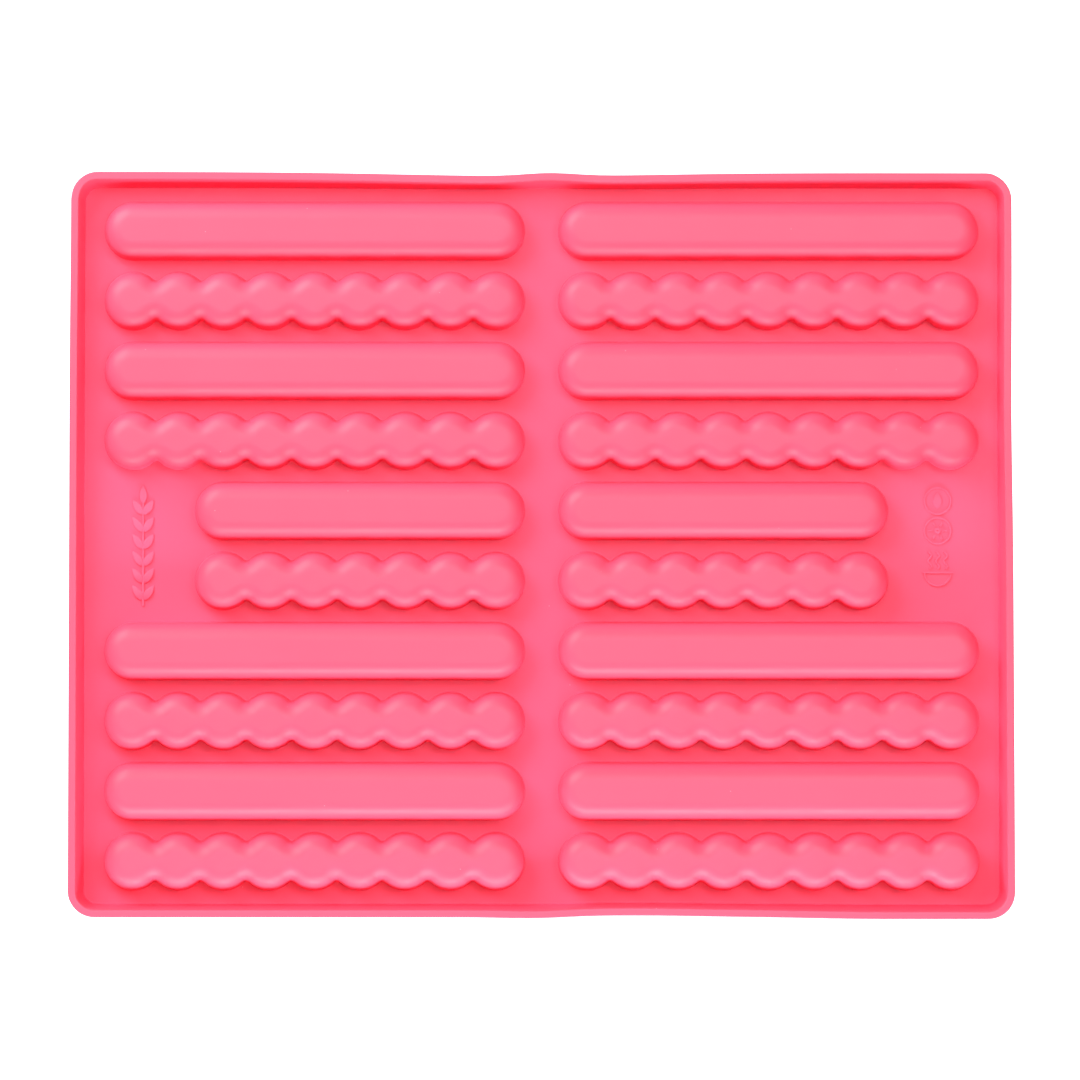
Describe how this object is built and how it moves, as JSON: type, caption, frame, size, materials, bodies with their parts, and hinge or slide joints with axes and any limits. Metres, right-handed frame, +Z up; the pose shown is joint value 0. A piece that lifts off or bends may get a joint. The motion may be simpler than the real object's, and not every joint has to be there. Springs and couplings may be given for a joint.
{
  "type": "silicone bar mould mat",
  "caption": "Flexible silicone mat of plain and beaded bar cavities in mirrored columns, with a raised rim and a strip in the middle about which it folds.",
  "frame": {"origin": "under the middle of the mat, on the flat open face that the mat lies on here", "axes": "+X across the columns, +Y along the columns towards the first plain row, +Z up out of the cavity backs"},
  "size_m": [0.38, 0.3, 0.0145],
  "materials": {
    "silicone": "matt moulded silicone, pinkish red, slightly translucent, with a soft sheen"
  },
  "bodies": {
    "left_half": {"left_rim": "silicone", "fold_web": "silicone", "fold_rim_back": "silicone", "fold_rim_front": "silicone", "leaf_sprig": "silicone", "web_left_1": "silicone", "web_left_2": "silicone", "web_left_3": "silicone", "web_left_4": "silicone", "web_left_5": "silicone", "web_left_6": "silicone", "web_left_7": "silicone", "web_left_8": "silicone", "web_left_9": "silicone", "web_left_10": "silicone", "plain_cup_left_1": "silicone", "beaded_cup_left_2_outer": "silicone", "beaded_cup_left_2_inner": "silicone", "plain_cup_left_3": "silicone", "beaded_cup_left_4_outer": "silicone", "beaded_cup_left_4_inner": "silicone", "plain_cup_left_5": "silicone", "beaded_cup_left_6_outer": "silicone", "beaded_cup_left_6_inner": "silicone", "plain_cup_left_7": "silicone", "beaded_cup_left_8_outer": "silicone", "beaded_cup_left_8_inner": "silicone", "plain_cup_left_9": "silicone", "beaded_cup_left_10_outer": "silicone", "beaded_cup_left_10_inner": "silicone"},
    "right_half": {"right_rim": "silicone", "use_symbols": "silicone", "web_right_1": "silicone", "web_right_2": "silicone", "web_right_3": "silicone", "web_right_4": "silicone", "web_right_5": "silicone", "web_right_6": "silicone", "web_right_7": "silicone", "web_right_8": "silicone", "web_right_9": "silicone", "web_right_10": "silicone", "plain_cup_right_1": "silicone", "beaded_cup_right_2_outer": "silicone", "beaded_cup_right_2_inner": "silicone", "plain_cup_right_3": "silicone", "beaded_cup_right_4_outer": "silicone", "beaded_cup_right_4_inner": "silicone", "plain_cup_right_5": "silicone", "beaded_cup_right_6_outer": "silicone", "beaded_cup_right_6_inner": "silicone", "plain_cup_right_7": "silicone", "beaded_cup_right_8_outer": "silicone", "beaded_cup_right_8_inner": "silicone", "plain_cup_right_9": "silicone", "beaded_cup_right_10_outer": "silicone", "beaded_cup_right_10_inner": "silicone"}
  },
  "joints": [
    {"name": "centre_fold", "type": "hinge", "parent": "left_half", "child": "right_half", "pos_m": [0, 0, 0.00075], "axis": [0, -1, 0], "range_deg": [-90, 35], "stiffness_Nm_per_rad": 0.25, "deforming": ["fold_web", "fold_rim_back", "fold_rim_front"]}
  ]
}
